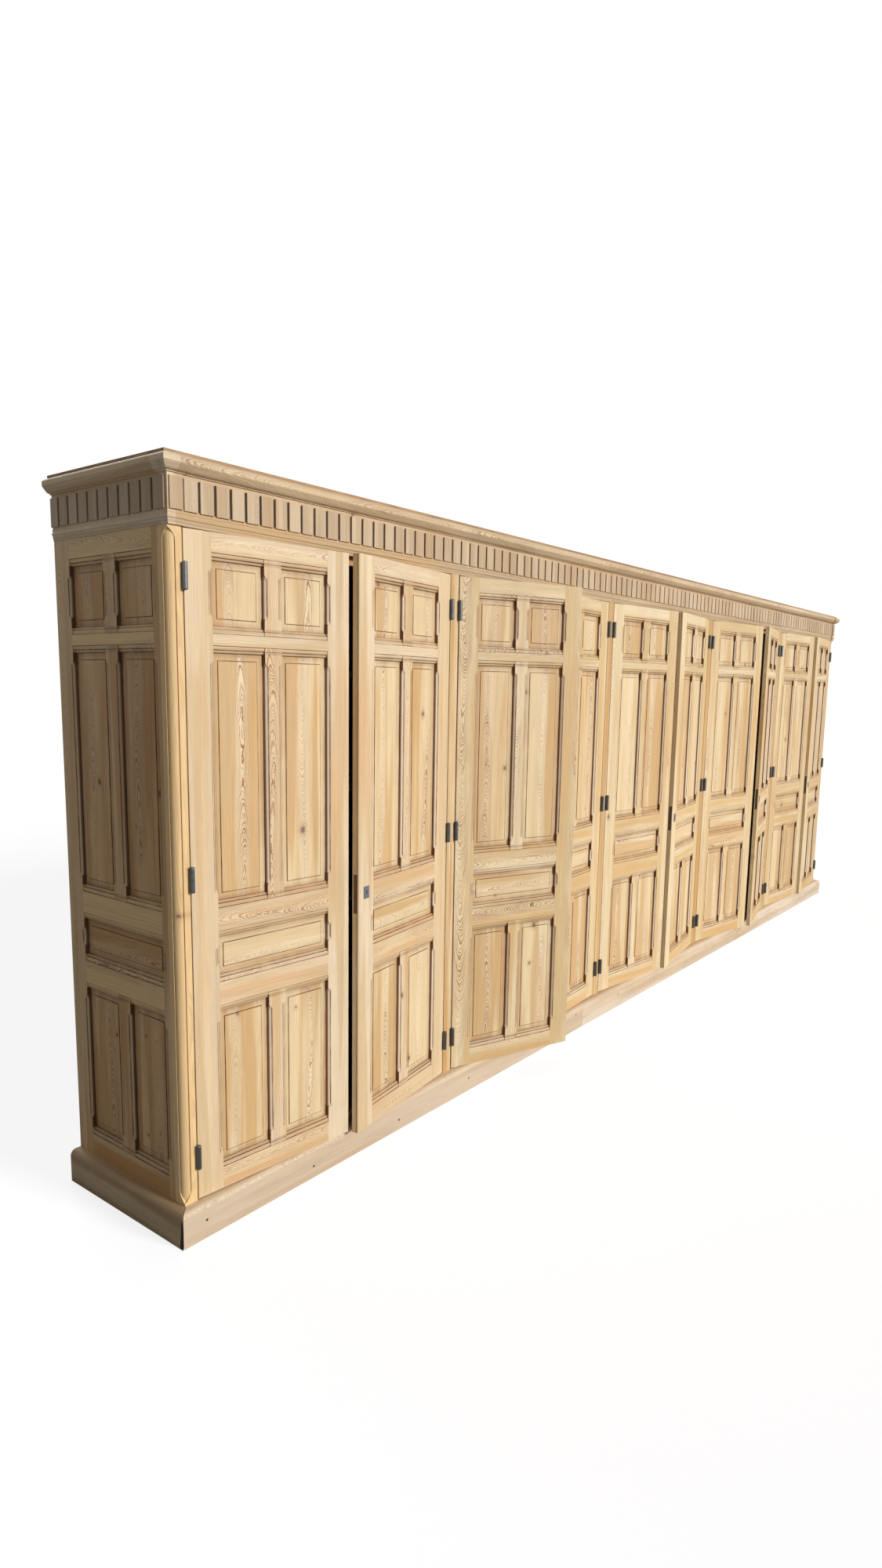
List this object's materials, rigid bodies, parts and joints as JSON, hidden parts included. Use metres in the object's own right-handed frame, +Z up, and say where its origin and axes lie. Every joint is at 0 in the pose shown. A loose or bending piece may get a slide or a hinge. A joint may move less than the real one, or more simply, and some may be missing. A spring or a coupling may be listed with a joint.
{
  "type": "apothecary cupboard",
  "caption": "Long waxed pine cupboard with rows of panelled doors on lift-off hinges, a tablet frieze and cornice, and shelves behind the doors.",
  "frame": {"origin": "on the floor, under the middle of the case's length and depth", "axes": "+X along the length to the right as seen from the front, +Y from the doors to the back, +Z up"},
  "size_m": [5.758, 0.7066, 2.046],
  "materials": {
    "pine_frame": "waxed stripped pine",
    "pine_panel": "waxed stripped pine",
    "pine_case": "waxed stripped pine",
    "pine_plinth": "dry scrubbed pine",
    "pine_inside": "unfinished aged pine",
    "old_iron": "dark worn iron"
  },
  "bodies": {
    "carcass": {"plinth_front": "pine_plinth", "plinth_ends": "pine_plinth", "floor_bearers": "pine_inside", "floor_boards": "pine_inside", "end_frames": "pine_case", "end_panels": "pine_panel", "bay_stiles": "pine_frame", "partitions": "pine_inside", "back_boards": "pine_inside", "shelves": "pine_inside", "shelf_cleats": "pine_inside", "ceiling_boards": "pine_inside", "stop_rails": "pine_inside", "head_rails": "pine_inside", "necking_bead": "pine_frame", "frieze_boards": "pine_case", "frieze_tablets": "pine_case", "cornice": "pine_frame", "dust_boards": "pine_inside", "hinge_pins": "old_iron"},
    "door_1": {"door_1_frame": "pine_frame", "door_1_panels": "pine_panel", "door_1_ironwork": "old_iron"},
    "door_2": {"door_2_frame": "pine_frame", "door_2_panels": "pine_panel", "door_2_ironwork": "old_iron"},
    "door_3": {"door_3_frame": "pine_frame", "door_3_panels": "pine_panel", "door_3_ironwork": "old_iron"},
    "door_4": {"door_4_frame": "pine_frame", "door_4_panels": "pine_panel", "door_4_ironwork": "old_iron"},
    "door_5": {"door_5_frame": "pine_frame", "door_5_panels": "pine_panel", "door_5_ironwork": "old_iron"},
    "door_6": {"door_6_frame": "pine_frame", "door_6_panels": "pine_panel", "door_6_ironwork": "old_iron"},
    "door_7": {"door_7_frame": "pine_frame", "door_7_panels": "pine_panel", "door_7_ironwork": "old_iron"},
    "door_8": {"door_8_frame": "pine_frame", "door_8_panels": "pine_panel", "door_8_ironwork": "old_iron"},
    "door_9": {"door_9_frame": "pine_frame", "door_9_panels": "pine_panel", "door_9_ironwork": "old_iron"},
    "door_10": {"door_10_frame": "pine_frame", "door_10_panels": "pine_panel", "door_10_ironwork": "old_iron"},
    "door_1_bolt": {"door_1_top_bolt": "old_iron"},
    "door_2_lock": {"door_2_lock_bolt": "old_iron"},
    "door_3_bolt": {"door_3_top_bolt": "old_iron"},
    "door_4_lock": {"door_4_lock_bolt": "old_iron"},
    "door_5_bolt": {"door_5_top_bolt": "old_iron"},
    "door_6_lock": {"door_6_lock_bolt": "old_iron"},
    "door_7_bolt": {"door_7_top_bolt": "old_iron"},
    "door_8_lock": {"door_8_lock_bolt": "old_iron"},
    "door_9_bolt": {"door_9_top_bolt": "old_iron"},
    "door_10_lock": {"door_10_lock_bolt": "old_iron"}
  },
  "joints": [
    {"name": "door_1_swing", "type": "hinge", "parent": "carcass", "child": "door_1", "pos_m": [-2.802, -0.2655, 0.598], "axis": [0, 0, -1], "range_deg": [-5, 165]},
    {"name": "door_2_swing", "type": "hinge", "parent": "carcass", "child": "door_2", "pos_m": [-1.718, -0.2655, 0.598], "axis": [0, 0, 1], "range_deg": [-8.5, 83.5]},
    {"name": "door_3_swing", "type": "hinge", "parent": "carcass", "child": "door_3", "pos_m": [-1.672, -0.2655, 0.598], "axis": [0, 0, -1], "range_deg": [-20.7, 71.3]},
    {"name": "door_4_swing", "type": "hinge", "parent": "carcass", "child": "door_4", "pos_m": [-0.588, -0.2655, 0.598], "axis": [0, 0, 1], "range_deg": [-4, 88]},
    {"name": "door_5_swing", "type": "hinge", "parent": "carcass", "child": "door_5", "pos_m": [-0.542, -0.2655, 0.598], "axis": [0, 0, -1], "range_deg": [-6.8, 85.2]},
    {"name": "door_6_swing", "type": "hinge", "parent": "carcass", "child": "door_6", "pos_m": [0.542, -0.2655, 0.598], "axis": [0, 0, 1], "range_deg": [-8.8, 83.2]},
    {"name": "door_7_swing", "type": "hinge", "parent": "carcass", "child": "door_7", "pos_m": [0.588, -0.2655, 0.598], "axis": [0, 0, -1], "range_deg": [-9.4, 82.6]},
    {"name": "door_8_swing", "type": "hinge", "parent": "carcass", "child": "door_8", "pos_m": [1.672, -0.2655, 0.598], "axis": [0, 0, 1], "range_deg": [-12.5, 79.5]},
    {"name": "door_9_swing", "type": "hinge", "parent": "carcass", "child": "door_9", "pos_m": [1.718, -0.2655, 0.598], "axis": [0, 0, -1], "range_deg": [-5, 87]},
    {"name": "door_10_swing", "type": "hinge", "parent": "carcass", "child": "door_10", "pos_m": [2.802, -0.2655, 0.598], "axis": [0, 0, 1], "range_deg": [-7, 163]},
    {"name": "door_1_top_bolt_slide", "type": "slide", "parent": "door_1", "child": "door_1_bolt", "axis": [0, 0, 1], "range_m": [0, 0.015]},
    {"name": "door_2_lock_bolt_slide", "type": "slide", "parent": "door_2", "child": "door_2_lock", "axis": [-0.989, -0.1478, 0], "range_m": [0, 0.008]},
    {"name": "door_3_top_bolt_slide", "type": "slide", "parent": "door_3", "child": "door_3_bolt", "axis": [0, 0, 1], "range_m": [0, 0.015]},
    {"name": "door_4_lock_bolt_slide", "type": "slide", "parent": "door_4", "child": "door_4_lock", "axis": [-0.9976, -0.0698, 0], "range_m": [0, 0.008]},
    {"name": "door_5_top_bolt_slide", "type": "slide", "parent": "door_5", "child": "door_5_bolt", "axis": [0, 0, 1], "range_m": [0, 0.015]},
    {"name": "door_6_lock_bolt_slide", "type": "slide", "parent": "door_6", "child": "door_6_lock", "axis": [-0.9882, -0.153, 0], "range_m": [0, 0.008]},
    {"name": "door_7_top_bolt_slide", "type": "slide", "parent": "door_7", "child": "door_7_bolt", "axis": [0, 0, 1], "range_m": [0, 0.015]},
    {"name": "door_8_lock_bolt_slide", "type": "slide", "parent": "door_8", "child": "door_8_lock", "axis": [-0.9763, -0.2164, 0], "range_m": [0, 0.008]},
    {"name": "door_9_top_bolt_slide", "type": "slide", "parent": "door_9", "child": "door_9_bolt", "axis": [0, 0, 1], "range_m": [0, 0.015]},
    {"name": "door_10_lock_bolt_slide", "type": "slide", "parent": "door_10", "child": "door_10_lock", "axis": [-0.9925, -0.1219, 0], "range_m": [0, 0.008]}
  ]
}
